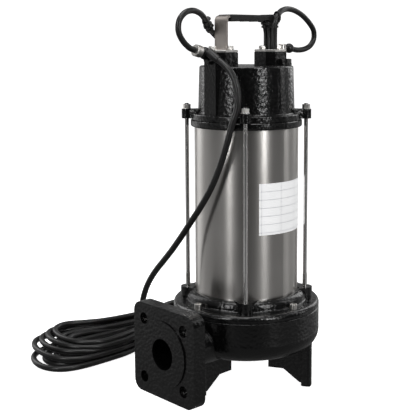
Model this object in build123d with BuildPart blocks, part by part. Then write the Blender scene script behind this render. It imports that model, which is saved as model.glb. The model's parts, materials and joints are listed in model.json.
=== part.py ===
from build123d import *
import math
import os

# Submersible sewage / sump pump with a stainless motor jacket, a cast-iron
# volute on three legs, a square flanged side outlet, a cable hank and a plug.
# Millimetres, +Z up.  The floor is z = 0.  The origin is the centre of the
# pump's footprint box on the floor; the shaft axis stands at x = 0, y = AXIS_Y
# and the outlet looks along -Y.

os.makedirs("parts", exist_ok=True)

# ------------------------------------------------------------------ dimensions
AXIS_Y = 9.7                      # shaft axis, from the footprint's centre

R_VOLUTE = 109.3                  # outside of the volute and of the lower flange
Z_VOLUTE_BOTTOM = 62.0
Z_JOINT = 120.0                   # volute / lower housing parting line
R_CHAMBER = 86.0                  # pumping chamber
R_EYE = 34.0                      # seat of the wear ring in the volute floor

OUTLET_X = 9.0                    # outlet axis, offset from the shaft
OUTLET_Z = 82.3
OUTLET_FACE = 169.2               # shaft to the flange's main face
OUTLET_BORE_R = 22.0
FLANGE_SQ = 130.0
FLANGE_T = 20.0
FLANGE_CORNER = 15.0
RAISED_R = 47.0
RAISED_H = 2.0
BOLT_PCD = 120.0
BOLT_HOLE_R = 8.25

LEG_ANGLES = (270.0, 30.0, 150.0)
LEG_OUT = 101.0
LEG_IN = 86.0
LEG_W = 15.0
WEB_T = 9.0

R_JACKET = 76.6
JACKET_T = 2.0
Z_JACKET_LOW = 139.0
Z_JACKET_TOP = 388.4

R_ROD_CIRCLE = 88.0
ROD_R = 3.0
ROD_ANGLES = (45.0, 135.0, 225.0, 315.0)
Z_LUG_LOW_TOP = 146.0
Z_LUG_TOP = 413.5

R_BRACKET = 82.0
Z_BRACKET = 388.5
Z_COVER = 398.6
R_COVER_RING = 80.5
Z_COVER_RING = 408.0
R_COVER_LOW = 71.0
R_COVER_TOP = 69.0
Z_COVER_TOP = 477.0

BOX_Y = 50.0                      # terminal boxes, from the shaft
BOX_A = 22.0                      # half across flats
Z_BOX_TOP = 496.0
Z_ENTRY = 484.6
LID_T = 3.0
Z_LID = 497.0
Z_LID_TOP = Z_LID + LID_T
LID_BOLT = 16.5

STRAP_W = 25.0
STRAP_T = 3.0
STRAP_Y = 51.2                    # outer face of each leg
Z_STRAP_TOP = 548.5

SHAFT_R = 10.0
CABLE_D = 9.2
LEAD_D = 8.4


# --------------------------------------------------------------------- helpers
def at(z):
    """Horizontal plane at height z, centred on the shaft."""
    return Plane(origin=(0, AXIS_Y, z), x_dir=(1, 0, 0), z_dir=(0, 0, 1))


def radial():
    """Vertical plane through the shaft: local x is the radius, local y is z."""
    return Plane(origin=(0, AXIS_Y, 0), x_dir=(1, 0, 0), z_dir=(0, -1, 0))


def facing(y):
    """Vertical plane square to the outlet at y from the shaft, looking along -Y."""
    return Plane(origin=(0, AXIS_Y + y, 0), x_dir=(1, 0, 0), z_dir=(0, -1, 0))


def side(x):
    """Vertical plane at x, looking along +X: local x is world y, local y is z."""
    return Plane(origin=(x, AXIS_Y, 0), x_dir=(0, 1, 0), z_dir=(1, 0, 0))


SHAFT = Axis((0, AXIS_Y, 0), (0, 0, 1))
nodes = {}


def save(name, piece):
    piece.label = name
    nodes[name] = piece
    export_step(piece, "parts/" + name + ".step")


def polar(r, degrees):
    return (r * math.cos(math.radians(degrees)), r * math.sin(math.radians(degrees)))


# --------------------------------------------------------------- volute casing
with BuildPart() as volute_casing:
    with BuildSketch(radial()):
        with BuildLine():
            l1 = Line((R_EYE, Z_VOLUTE_BOTTOM), (95.5, Z_VOLUTE_BOTTOM))
            l2 = ThreePointArc((95.5, Z_VOLUTE_BOTTOM), (105.6, 71.5), (R_VOLUTE, 88.0))
            l3 = Line((R_VOLUTE, 88.0), (R_VOLUTE, Z_JOINT - 1.0))
            l4 = Line((R_VOLUTE, Z_JOINT - 1.0), (R_VOLUTE - 1.0, Z_JOINT))
            l5 = Line((R_VOLUTE - 1.0, Z_JOINT), (92.0, Z_JOINT))
            l6 = Line((92.0, Z_JOINT), (92.0, 112.0))
            l7 = Line((92.0, 112.0), (R_CHAMBER, 112.0))
            l8 = Line((R_CHAMBER, 112.0), (R_CHAMBER, 78.0))
            l9 = ThreePointArc((R_CHAMBER, 78.0), (84.2, 73.8), (80.0, 72.0))
            l10 = Line((80.0, 72.0), (R_EYE, 72.0))
            l11 = Line((R_EYE, 72.0), (R_EYE, Z_VOLUTE_BOTTOM))
        make_face()
    revolve(axis=SHAFT)
    # outlet neck, widening into the square flange
    with BuildSketch(facing(-74.0)):
        with Locations((OUTLET_X, OUTLET_Z)):
            Circle(31.0)
    extrude(amount=OUTLET_FACE - FLANGE_T - 74.0 + 2.0)
    with BuildSketch(facing(-(OUTLET_FACE - FLANGE_T - 14.0))):
        with Locations((OUTLET_X, OUTLET_Z)):
            Circle(31.0)
    with BuildSketch(facing(-(OUTLET_FACE - FLANGE_T) - 0.5)):
        with Locations((OUTLET_X, OUTLET_Z)):
            Circle(42.0)
    loft()
    with BuildSketch(facing(-(OUTLET_FACE - FLANGE_T))):
        with Locations((OUTLET_X, OUTLET_Z)):
            RectangleRounded(FLANGE_SQ, FLANGE_SQ, FLANGE_CORNER)
    extrude(amount=FLANGE_T)
    # legs: a post and a web each
    for a in LEG_ANGLES:
        leg_plane = Plane(
            origin=(0, AXIS_Y, 0),
            x_dir=(math.cos(math.radians(a)), math.sin(math.radians(a)), 0),
            z_dir=(math.sin(math.radians(a)), -math.cos(math.radians(a)), 0),
        )
        with BuildSketch(leg_plane):
            with BuildLine():
                Polyline(
                    (35.5, 62.5), (35.5, 24.0), (59.0, 23.5), (84.0, 4.5), (90.0, 4.5), (90.0, 64.0), (35.5, 64.0),
                    (35.5, 62.5),
                )
            make_face()
        extrude(amount=WEB_T / 2, both=True)
    with BuildSketch(at(0)):
        for a in LEG_ANGLES:
            with Locations(Location(polar((LEG_OUT + LEG_IN) / 2, a) + (0,), (0, 0, a))):
                RectangleRounded(LEG_OUT - LEG_IN, LEG_W, 4.5)
    extrude(amount=84.0)
    with BuildSketch(at(112.0)):
        Circle(92.0)
    extrude(amount=10.0, mode=Mode.SUBTRACT)
    # clean the pumping chamber and the top recess where the legs and the neck ran in
    with BuildSketch(at(72.0)):
        Circle(80.0)
    extrude(amount=6.1, mode=Mode.SUBTRACT)
    with BuildSketch(at(78.0)):
        Circle(R_CHAMBER)
    extrude(amount=34.0, mode=Mode.SUBTRACT)
    # outlet bore and bolt holes
    with BuildSketch(facing(-(OUTLET_FACE - FLANGE_T) - 1.0)):
        with Locations((OUTLET_X, OUTLET_Z)):
            Circle(RAISED_R)
    extrude(amount=FLANGE_T - 1.0 + RAISED_H)
    with BuildSketch(facing(-(OUTLET_FACE + RAISED_H))):
        with Locations((OUTLET_X, OUTLET_Z)):
            Circle(OUTLET_BORE_R)
    extrude(amount=-(OUTLET_FACE + RAISED_H - 77.0), mode=Mode.SUBTRACT)
    half = BOLT_PCD / 2 / math.sqrt(2)
    with BuildSketch(facing(-(OUTLET_FACE + RAISED_H))):
        with Locations((OUTLET_X, OUTLET_Z)):
            with GridLocations(2 * half, 2 * half, 2, 2):
                Circle(BOLT_HOLE_R)
    extrude(amount=-(FLANGE_T + RAISED_H + 1.0), mode=Mode.SUBTRACT)
    # threaded holes for the flange bolts
    with BuildSketch(at(Z_JOINT)):
        with PolarLocations(97.0, 4):
            Circle(3.05)
    extrude(amount=-13.0, mode=Mode.SUBTRACT)
save("volute_casing", volute_casing.part)

# bronze wear ring in the suction eye
with BuildPart() as wear_ring:
    with BuildSketch(radial()):
        with BuildLine():
            Polyline((33.9, 60.0), (33.9, 72.0), (35.8, 72.0), (35.8, 74.5), (27.0, 74.5), (27.0, 64.0), (30.0, 60.0), (33.9, 60.0))
        make_face()
    revolve(axis=SHAFT)
save("suction_wear_ring", wear_ring.part)

# -------------------------------------------------------------------- impeller
with BuildPart() as impeller:
    with BuildSketch(radial()):
        with BuildLine():
            Polyline(
                (8.0, 86.0), (15.0, 86.0), (17.0, 94.0), (24.0, 97.5), (62.0, 98.5), (62.0, 102.0), (20.0, 103.0),
                (16.0, 104.0), (8.0, 104.0), (8.0, 86.0),
            )
        make_face()
    revolve(axis=SHAFT)
    for k in range(6):
        vane_plane = Plane(
            origin=(0, AXIS_Y, 82.0), x_dir=(math.cos(math.radians(60 * k)), math.sin(math.radians(60 * k)), 0), z_dir=(0, 0, 1),
        )
        with BuildSketch(vane_plane):
            with BuildLine():
                v1 = ThreePointArc((15.5, 0.0), (38.0, 9.0), (55.0, 25.0))
                v2 = Line((55.0, 25.0), (57.6, 20.6))
                v3 = ThreePointArc((57.6, 20.6), (40.0, 4.0), (15.5, -4.5))
                v4 = Line((15.5, -4.5), (15.5, 0.0))
            make_face()
        extrude(amount=17.0)
    # keyway
    with BuildSketch(at(85.9)):
        with Locations((8.0, 0)):
            Rectangle(5.6, 5.0)
    extrude(amount=18.2, mode=Mode.SUBTRACT)
save("impeller", impeller.part)

with BuildPart() as impeller_bolt:
    with BuildSketch(at(83.0)):
        Circle(13.5)
        Circle(4.15, mode=Mode.SUBTRACT)
    extrude(amount=2.9)
    with BuildSketch(at(77.5)):
        RegularPolygon(7.5, 6)
    extrude(amount=5.4)
    with BuildSketch(at(77.5)):
        Circle(4.0)
    extrude(amount=24.4)
save("impeller_bolt", impeller_bolt.part)

with BuildPart() as impeller_key:
    with BuildSketch(at(88.0)):
        with Locations((8.1, 0)):
            Rectangle(5.0, 4.9)
    extrude(amount=15.0)
save("impeller_key", impeller_key.part)

# ------------------------------------------------------------------ rotor shaft
with BuildPart() as rotor_shaft:
    with BuildSketch(radial()):
        with BuildLine():
            Polyline(
                (0, 86.2), (7.4, 86.2), (7.95, 87.0), (7.95, 104.2), (SHAFT_R, 104.2), (SHAFT_R, 128.6), (14.4, 128.6), (14.4, 130.0), (SHAFT_R, 130.0), (SHAFT_R, 165.0), (12.0, 165.0),
                (12.0, 345.0), (10.6, 345.0), (10.6, 366.0), (8.5, 366.0), (8.5, 381.0), (7.5, 382.0), (0, 382.0), (0, 86.2),
            )
        make_face()
    revolve(axis=SHAFT)
    with BuildSketch(at(86.0)):
        Circle(4.05)
    extrude(amount=16.5, mode=Mode.SUBTRACT)
    with BuildSketch(at(86.0)):
        with Locations((8.1, 0)):
            Rectangle(5.1, 5.0)
    extrude(amount=17.3, mode=Mode.SUBTRACT)
    with BuildSketch(at(147.6)):
        Circle(11.0)
        Circle(9.3, mode=Mode.SUBTRACT)
    extrude(amount=1.2, mode=Mode.SUBTRACT)
save("rotor_shaft", rotor_shaft.part)

with BuildPart() as bearing_clip:
    with BuildSketch(at(147.7)):
        Circle(12.6)
        Circle(9.35, mode=Mode.SUBTRACT)
        with Locations((11.0, 0)):
            Rectangle(5.0, 3.4, mode=Mode.SUBTRACT)
    extrude(amount=1.0)
save("bearing_retaining_clip", bearing_clip.part)

# rotor: laminated core with a cast end ring at each end
with BuildPart() as rotor_core:
    with BuildSketch(at(195.0)):
        Circle(34.2)
        Circle(12.0, mode=Mode.SUBTRACT)
    extrude(amount=110.0)
save("rotor_core", rotor_core.part)

with BuildPart() as rotor_end_rings:
    with BuildSketch(radial()):
        with BuildLine():
            Polyline((21.0, 187.0), (31.5, 187.0), (33.2, 189.0), (33.2, 195.0), (19.0, 195.0), (21.0, 187.0))
        make_face()
        with BuildLine():
            Polyline((21.0, 313.0), (31.5, 313.0), (33.2, 311.0), (33.2, 305.0), (19.0, 305.0), (21.0, 313.0))
        make_face()
    revolve(axis=SHAFT)
    # balancing and fan lugs on each ring
    with BuildSketch(at(180.0)):
        with PolarLocations(27.0, 8):
            Rectangle(8.0, 2.4)
    extrude(amount=7.5)
    with BuildSketch(at(312.5)):
        with PolarLocations(27.0, 8):
            Rectangle(8.0, 2.4)
    extrude(amount=7.5)
save("rotor_end_rings", rotor_end_rings.part)

# --------------------------------------------------------------------- stator
SLOTS = 24
with BuildPart() as stator_core:
    with BuildSketch(at(195.0)):
        Circle(R_JACKET - JACKET_T - 0.1)
        Circle(34.6, mode=Mode.SUBTRACT)
        with PolarLocations(47.0, SLOTS):
            SlotCenterToCenter(12.0, 6.4, mode=Mode.SUBTRACT)
        with PolarLocations(36.0, SLOTS):
            Rectangle(8.0, 2.0, mode=Mode.SUBTRACT)
    extrude(amount=110.0)
save("stator_core", stator_core.part)

with BuildPart() as stator_coils:
    with BuildSketch(at(195.2)):
        with PolarLocations(47.6, SLOTS):
            SlotCenterToCenter(10.4, 5.6)
    extrude(amount=109.6)
save("stator_slot_coils", stator_coils.part)


def winding_profile(z0, z1):
    """Closed half section of an end winding between two heights."""
    zm = (z0 + z1) / 2
    return [(41.0, z0 + 3), (44.0, z0), (58.0, z0), (63.5, zm), (58.0, z1), (44.0, z1), (41.0, z1 - 3), (41.0, z0 + 3)]


with BuildPart() as upper_winding:
    with BuildSketch(radial()):
        with BuildLine():
            Polyline(*winding_profile(305.2, 346.0))
        make_face()
    revolve(axis=SHAFT)
    fillet(upper_winding.edges().filter_by(GeomType.CIRCLE).group_by(Axis.Z)[-1], radius=5.0)
save("upper_end_winding", upper_winding.part)

with BuildPart() as lower_winding:
    with BuildSketch(radial()):
        with BuildLine():
            Polyline(*winding_profile(158.0, 194.8))
        make_face()
    revolve(axis=SHAFT)
    fillet(lower_winding.edges().filter_by(GeomType.CIRCLE).group_by(Axis.Z)[0], radius=5.0)
save("lower_end_winding", lower_winding.part)

# --------------------------------------------------------------------- bearings
def bearing(z0, width, r_bore, r_outer, ball_r, count):
    """Deep-groove ball bearing: outer ring, inner ring and the ball set in its cage."""
    zc = z0 + width / 2
    rp = (r_bore + r_outer) / 2
    with BuildPart() as outer:
        with BuildSketch(radial()):
            with BuildLine():
                Polyline((rp + ball_r * 0.55, z0), (r_outer, z0), (r_outer, z0 + width), (rp + ball_r * 0.55, z0 + width), (rp + ball_r * 0.55, z0))
            make_face()
            with Locations((rp, zc)):
                Circle(ball_r + 0.12, mode=Mode.SUBTRACT)
        revolve(axis=SHAFT)
    with BuildPart() as inner:
        with BuildSketch(radial()):
            with BuildLine():
                Polyline((r_bore, z0), (rp - ball_r * 0.55, z0), (rp - ball_r * 0.55, z0 + width), (r_bore, z0 + width), (r_bore, z0))
            make_face()
            with Locations((rp, zc)):
                Circle(ball_r + 0.12, mode=Mode.SUBTRACT)
        revolve(axis=SHAFT)
    with BuildPart() as balls:
        with Locations(Location((0, AXIS_Y, zc))):
            with PolarLocations(rp, count):
                Sphere(ball_r)
        with BuildSketch(at(zc - 0.9)):
            Circle(rp + ball_r * 0.4)
            Circle(rp - ball_r * 0.4, mode=Mode.SUBTRACT)
        extrude(amount=1.8)
    return outer.part, inner.part, balls.part


LOWER_BEARING_Z, LOWER_W, LOWER_BORE, LOWER_OD, LOWER_BALL, LOWER_N = 150.0, 14.0, 10.0, 23.5, 3.9, 8
UPPER_BEARING_Z, UPPER_W, UPPER_BORE, UPPER_OD, UPPER_BALL, UPPER_N = 367.0, 12.0, 8.5, 20.0, 3.3, 8
o, i, b = bearing(LOWER_BEARING_Z, LOWER_W, LOWER_BORE, LOWER_OD, LOWER_BALL, LOWER_N)
save("lower_bearing_outer_ring", o)
save("lower_bearing_inner_ring", i)
save("lower_bearing_balls", b)
o, i, b = bearing(UPPER_BEARING_Z, UPPER_W, UPPER_BORE, UPPER_OD, UPPER_BALL, UPPER_N)
save("upper_bearing_outer_ring", o)
save("upper_bearing_inner_ring", i)
save("upper_bearing_balls", b)

# ------------------------------------------------- lower housing and oil chamber
with BuildPart() as lower_housing:
    with BuildSketch(radial()):
        with BuildLine():
            h1 = Line((70.0, 112.1), (91.8, 112.1))
            h2 = Line((91.8, 112.1), (91.8, Z_JOINT + 0.1))
            h3 = Line((91.8, Z_JOINT + 0.1), (R_VOLUTE - 0.6, Z_JOINT + 0.1))
            h3b = Line((R_VOLUTE - 0.6, Z_JOINT + 0.1), (R_VOLUTE, Z_JOINT + 0.8))
            h4 = Line((R_VOLUTE, Z_JOINT + 0.8), (R_VOLUTE, 124.0))
            h5 = ThreePointArc((R_VOLUTE, 124.0), (107.3, 128.6), (102.8, 130.4))
            h6 = Line((102.8, 130.4), (91.8, 131.0))
            h7 = ThreePointArc((91.8, 131.0), (90.4, 131.9), (89.8, 133.4))
            h8 = Line((89.8, 133.4), (89.4, 136.0))
            h9 = ThreePointArc((89.4, 136.0), (86.0, 142.2), (79.6, 145.0))
            h10 = Line((79.6, 145.0), (76.8, 145.0))
            h11 = Line((76.8, 145.0), (76.8, Z_JACKET_LOW))
            h12 = Line((76.8, Z_JACKET_LOW), (74.4, Z_JACKET_LOW))
            h13 = Line((74.4, Z_JACKET_LOW), (74.4, 150.0))
            h14 = Line((74.4, 150.0), (66.0, 150.0))
            h15 = Line((66.0, 150.0), (64.0, 138.5))
            h16 = Line((64.0, 138.5), (33.0, 138.5))
            h17 = Line((33.0, 138.5), (31.0, 165.0))
            h18 = Line((31.0, 165.0), (23.55, 165.0))
            h19 = Line((23.55, 165.0), (23.55, 149.9))
            h20 = Line((23.55, 149.9), (15.0, 149.9))
            h21 = Line((15.0, 149.9), (15.0, 140.0))
            h22 = Line((15.0, 140.0), (16.1, 139.0))
            h23 = Line((16.1, 139.0), (16.1, 130.0))
            h24 = Line((16.1, 130.0), (62.0, 130.0))
            h25 = Line((62.0, 130.0), (70.0, 122.0))
            h26 = Line((70.0, 122.0), (70.0, 112.1))
        make_face()
    revolve(axis=SHAFT)
    # a lug for each tie rod
    for a in ROD_ANGLES:
        lug_plane = Plane(
            origin=(0, AXIS_Y, 122.0),
            x_dir=(math.cos(math.radians(a)), math.sin(math.radians(a)), 0),
            z_dir=(0, 0, 1),
        )
        with BuildSketch(lug_plane):
            with Locations((87.6, 0)):
                Circle(11.4)
            with BuildLine():
                Polyline((79.0, -17.0), (86.0, -12.6), (90.0, -11.2), (90.0, 11.2), (86.0, 12.6), (79.0, 17.0), (79.0, -17.0))
            make_face()
        extrude(amount=Z_LUG_LOW_TOP - 122.0)
    # keep the jacket's groove and the space above the parting line clear
    with BuildSketch(at(Z_JACKET_LOW)):
        Circle(76.8)
        Circle(74.4, mode=Mode.SUBTRACT)
    extrude(amount=8.0, mode=Mode.SUBTRACT)
    with BuildSketch(at(124.0)):
        with PolarLocations(R_ROD_CIRCLE, 4, start_angle=45):
            Circle(3.55)
    extrude(amount=30.0, mode=Mode.SUBTRACT)
    with BuildSketch(at(Z_JOINT)):
        with PolarLocations(97.0, 4):
            Circle(3.3)
    extrude(amount=14.0, mode=Mode.SUBTRACT)
    # spot faces of the flange bolts
    with BuildSketch(at(130.6)):
        with PolarLocations(97.0, 4):
            Circle(7.2)
    extrude(amount=8.0, mode=Mode.SUBTRACT)
    # tapped holes of the oil chamber cover
    with BuildSketch(at(112.0)):
        with PolarLocations(76.0, 4, start_angle=45):
            Circle(2.05)
    extrude(amount=8.0, mode=Mode.SUBTRACT)
save("lower_motor_housing", lower_housing.part)

with BuildPart() as oil_cover:
    with BuildSketch(radial()):
        with BuildLine():
            Polyline(
                (11.5, 105.0), (84.0, 105.0), (84.0, 112.0), (16.3, 112.0), (16.3, 107.2), (11.5, 107.2), (11.5, 105.0),
            )
        make_face()
    revolve(axis=SHAFT)
    with BuildSketch(at(105.0)):
        with PolarLocations(76.0, 4, start_angle=45):
            Circle(2.3)
        with Locations((-52.0, 0)):
            Circle(5.05)
    extrude(amount=7.5, mode=Mode.SUBTRACT)
    with BuildSketch(at(105.0)):
        with PolarLocations(76.0, 4, start_angle=45):
            Circle(4.4)
    extrude(amount=3.2, mode=Mode.SUBTRACT)
save("oil_chamber_cover", oil_cover.part)

with BuildPart() as oil_cover_screws:
    with BuildSketch(at(105.2)):
        with PolarLocations(76.0, 4, start_angle=45):
            Circle(4.2)
    extrude(amount=3.0)
    with BuildSketch(at(108.0)):
        with PolarLocations(76.0, 4, start_angle=45):
            Circle(2.0)
    extrude(amount=11.0)
    with BuildSketch(at(105.2)):
        with PolarLocations(76.0, 4, start_angle=45):
            RegularPolygon(2.2, 6)
    extrude(amount=1.8, mode=Mode.SUBTRACT)
save("oil_cover_screws", oil_cover_screws.part)

with BuildPart() as oil_plug:
    with BuildSketch(at(102.6)):
        with Locations((-52.0, 0)):
            RegularPolygon(6.6, 6)
    extrude(amount=2.3)
    with BuildSketch(at(104.8)):
        with Locations((-52.0, 0)):
            Circle(5.0)
    extrude(amount=7.0)
save("oil_drain_plug", oil_plug.part)

with BuildPart() as cover_oring:
    with BuildSketch(radial()):
        with Locations((68.3, 113.4)):
            Circle(1.3)
    revolve(axis=SHAFT)
save("oil_cover_o_ring", cover_oring.part)

# mechanical seal: fixed seat, rotating ring and spring
with BuildPart() as seal_seat:
    with BuildSketch(radial()):
        with BuildLine():
            Polyline((11.6, 107.3), (16.2, 107.3), (16.2, 112.4), (14.0, 112.4), (14.0, 114.0), (11.6, 114.0), (11.6, 107.3))
        make_face()
    revolve(axis=SHAFT)
save("seal_fixed_seat", seal_seat.part)

with BuildPart() as seal_ring:
    with BuildSketch(radial()):
        with BuildLine():
            Polyline((10.0, 114.1), (13.8, 114.1), (13.8, 116.5), (15.0, 117.5), (15.0, 119.5), (10.0, 119.5), (10.0, 114.1))
        make_face()
    revolve(axis=SHAFT)
save("seal_rotating_ring", seal_ring.part)

SPRING_R, SPRING_WIRE = 12.6, 0.9
with BuildPart() as seal_spring:
    with BuildLine():
        spring_path = Helix(pitch=2.1, height=7.0, radius=SPRING_R, center=(0, AXIS_Y, 120.5))
    with BuildSketch(Plane(origin=spring_path @ 0, z_dir=spring_path % 0)):
        Circle(SPRING_WIRE)
    sweep()
save("seal_spring", seal_spring.part)

with BuildPart() as lip_seal:
    with BuildSketch(radial()):
        with BuildLine():
            Polyline((10.35, 133.6), (11.4, 131.6), (14.6, 131.2), (16.0, 131.2), (16.0, 138.6), (11.4, 138.6), (11.4, 137.4), (14.4, 137.4), (14.4, 133.2), (10.35, 133.6))
        make_face()
    revolve(axis=SHAFT)
save("oil_lip_seal", lip_seal.part)

# ----------------------------------------------------------------- motor jacket
with BuildPart() as motor_jacket:
    with BuildSketch(at(Z_JACKET_LOW + 0.1)):
        Circle(R_JACKET)
        Circle(R_JACKET - JACKET_T, mode=Mode.SUBTRACT)
    extrude(amount=Z_JACKET_TOP - Z_JACKET_LOW - 0.1)
save("motor_jacket", motor_jacket.part)

with BuildPart() as bracket:
    with BuildSketch(radial()):
        with BuildLine():
            b1 = Line((77.6, Z_BRACKET), (79.2, Z_BRACKET))
            b2 = ThreePointArc((79.2, Z_BRACKET), (81.2, 389.3), (R_BRACKET, 391.3))
            b3 = Line((R_BRACKET, 391.3), (R_BRACKET, 397.6))
            b4 = Line((R_BRACKET, 397.6), (R_BRACKET - 1.0, 398.5))
            b5 = Line((R_BRACKET - 1.0, 398.5), (66.0, 398.5))
            b6 = Line((66.0, 398.5), (64.0, 390.0))
            b7 = Line((64.0, 390.0), (26.0, 390.0))
            b8 = Line((26.0, 390.0), (24.0, 394.0))
            b9 = Line((24.0, 394.0), (12.0, 394.0))
            b10 = Line((12.0, 394.0), (12.0, 381.6))
            b11 = Line((12.0, 381.6), (20.05, 381.6))
            b12 = Line((20.05, 381.6), (20.05, 366.0))
            b13 = Line((20.05, 366.0), (26.0, 366.0))
            b14 = Line((26.0, 366.0), (28.0, 384.0))
            b15 = Line((28.0, 384.0), (64.0, 384.0))
            b16 = Line((64.0, 384.0), (66.0, 376.0))
            b17 = Line((66.0, 376.0), (74.4, 376.0))
            b18 = Line((74.4, 376.0), (74.4, Z_BRACKET))
            b19 = Line((74.4, Z_BRACKET), (77.6, Z_BRACKET))
        make_face()
    revolve(axis=SHAFT)
    # wire passages through the bracket's web
    with BuildSketch(at(380.0)):
        with PolarLocations(46.0, 3, start_angle=90):
            Circle(9.0)
    extrude(amount=20.0, mode=Mode.SUBTRACT)
    # groove of the upper o-ring
    with BuildSketch(radial()):
        with Locations((74.2, 381.0)):
            Rectangle(3.2, 3.2)
    revolve(axis=SHAFT, mode=Mode.SUBTRACT)
save("upper_bearing_bracket", bracket.part)

with BuildPart() as upper_oring:
    with BuildSketch(radial()):
        with Locations((73.5, 381.0)):
            Rectangle(1.7, 2.4)
    revolve(axis=SHAFT)
save("jacket_upper_o_ring", upper_oring.part)

# ------------------------------------------------------------------- top cover
def octagon(a, cut, y=0.0):
    """Corner points of a square of half width a, centred at y, with its corners cut by cut."""
    b = a - cut
    return [(a, y + b), (b, y + a), (-b, y + a), (-a, y + b), (-a, y - b), (-b, y - a), (b, y - a), (a, y - b), (a, y + b)]


# where the leads enter the lids
LEFT_HOLES = [(-4.5, -43.4)]
RIGHT_HOLES = [(-1.6, 43.6), (6.5, 43.5), (14.8, 43.4)]
with BuildPart() as top_cover:
    with BuildSketch(radial()):
        with BuildLine():
            c1 = Line((0, Z_COVER_TOP - 8.0), (55.0, Z_COVER_TOP - 8.0))
            c2 = ThreePointArc((55.0, Z_COVER_TOP - 8.0), (60.6, 466.6), (63.0, 461.0))
            c3 = Line((63.0, 461.0), (64.0, Z_COVER))
            c4 = Line((64.0, Z_COVER), (R_COVER_RING - 0.8, Z_COVER))
            c5 = Line((R_COVER_RING - 0.8, Z_COVER), (R_COVER_RING, Z_COVER + 0.8))
            c6 = Line((R_COVER_RING, Z_COVER + 0.8), (R_COVER_RING, Z_COVER_RING - 1.6))
            c7 = ThreePointArc((R_COVER_RING, Z_COVER_RING - 1.6), (R_COVER_RING - 0.5, Z_COVER_RING - 0.5), (R_COVER_RING - 1.6, Z_COVER_RING))
            c8 = Line((R_COVER_RING - 1.6, Z_COVER_RING), (73.6, Z_COVER_RING))
            c9 = ThreePointArc((73.6, Z_COVER_RING), (71.7, Z_COVER_RING + 0.8), (R_COVER_LOW, Z_COVER_RING + 2.8))
            c10 = Line((R_COVER_LOW, Z_COVER_RING + 2.8), (R_COVER_TOP, Z_COVER_TOP - 3.0))
            c11 = ThreePointArc((R_COVER_TOP, Z_COVER_TOP - 3.0), (R_COVER_TOP - 0.9, Z_COVER_TOP - 0.9), (R_COVER_TOP - 3.0, Z_COVER_TOP))
            c12 = Line((R_COVER_TOP - 3.0, Z_COVER_TOP), (0, Z_COVER_TOP))
            c13 = Line((0, Z_COVER_TOP), (0, Z_COVER_TOP - 8.0))
        make_face()
    revolve(axis=SHAFT)
    # terminal boxes, running down the side of the cover as columns
    with BuildSketch(at(Z_COVER_RING - 4.0)):
        for s in (-1, 1):
            with BuildLine():
                Polyline(*octagon(BOX_A, 10.0, s * BOX_Y))
            make_face()
    extrude(amount=Z_BOX_TOP - Z_COVER_RING + 4.0)
    # tie rod lugs
    for a in ROD_ANGLES:
        lug_plane = Plane(
            origin=(0, AXIS_Y, 399.5),
            x_dir=(math.cos(math.radians(a)), math.sin(math.radians(a)), 0),
            z_dir=(0, 0, 1),
        )
        with BuildSketch(lug_plane):
            with Locations((R_ROD_CIRCLE, 0)):
                Circle(7.6)
            with BuildLine():
                Polyline((66.0, -13.0), (78.0, -8.4), (83.0, -7.0), (88.0, -7.0), (88.0, 7.0), (83.0, 7.0), (78.0, 8.4), (66.0, 13.0), (66.0, -13.0))
            make_face()
        extrude(amount=Z_LUG_TOP - 399.5)
    # hollow out the inside again where the columns and lugs ran in
    with BuildSketch(at(Z_COVER - 1.0)):
        Circle(62.3)
    extrude(amount=459.0 - Z_COVER + 1.0, mode=Mode.SUBTRACT)
    # terminal chambers, open upwards, with the wire passage down into the cover
    with BuildSketch(at(Z_BOX_TOP)):
        with Locations((0, BOX_Y), (0, -BOX_Y)):
            RectangleRounded(36.0, 21.0, 4.0)
        with Locations(*LEFT_HOLES, *RIGHT_HOLES):
            Circle(LEAD_D / 2 + 0.4)
    extrude(amount=-16.0, mode=Mode.SUBTRACT)
    with BuildSketch(at(Z_COVER_TOP + 6.0)):
        with Locations((0, BOX_Y - 6.0), (0, -BOX_Y + 6.0)):
            Circle(6.0)
    extrude(amount=-30.0, mode=Mode.SUBTRACT)
    # cable entries
    with BuildSketch(facing(-(BOX_Y + BOX_A + 1.0))):
        with Locations((0, Z_ENTRY)):
            Circle(5.0)
    extrude(amount=-14.0, mode=Mode.SUBTRACT)
    with BuildSketch(facing(BOX_Y + BOX_A + 1.0)):
        with Locations((0, Z_ENTRY)):
            Circle(5.0)
    extrude(amount=14.0, mode=Mode.SUBTRACT)
    # tie rod holes, lid bolt holes, vent plug hole
    with BuildSketch(at(Z_COVER - 1.0)):
        with PolarLocations(R_ROD_CIRCLE, 4, start_angle=45):
            Circle(3.4)
    extrude(amount=20.0, mode=Mode.SUBTRACT)
    with BuildSketch(at(Z_BOX_TOP)):
        for s in (-1, 1):
            with Locations((0, s * BOX_Y - LID_BOLT), (0, s * BOX_Y + LID_BOLT)):
                Circle(3.05)
    extrude(amount=-6.0, mode=Mode.SUBTRACT)
    with BuildSketch(at(Z_COVER_TOP)):
        with Locations((31.0, 56.5)):
            Circle(3.05)
    extrude(amount=-7.0, mode=Mode.SUBTRACT)
save("top_cover", top_cover.part)

with BuildPart() as vent_plug:
    with BuildSketch(at(Z_COVER_TOP)):
        with Locations((31.0, 56.5)):
            Circle(5.2)
    extrude(amount=3.0)
    with BuildSketch(at(Z_COVER_TOP + 2.9)):
        with Locations((31.0, 56.5)):
            RegularPolygon(5.0, 6)
    extrude(amount=6.5)
    chamfer(vent_plug.edges().group_by(Axis.Z)[-1], length=0.8)
    with BuildSketch(at(Z_COVER_TOP + 0.5)):
        with Locations((31.0, 56.5)):
            Circle(3.0)
    extrude(amount=-6.5)
save("vent_plug", vent_plug.part)

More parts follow.
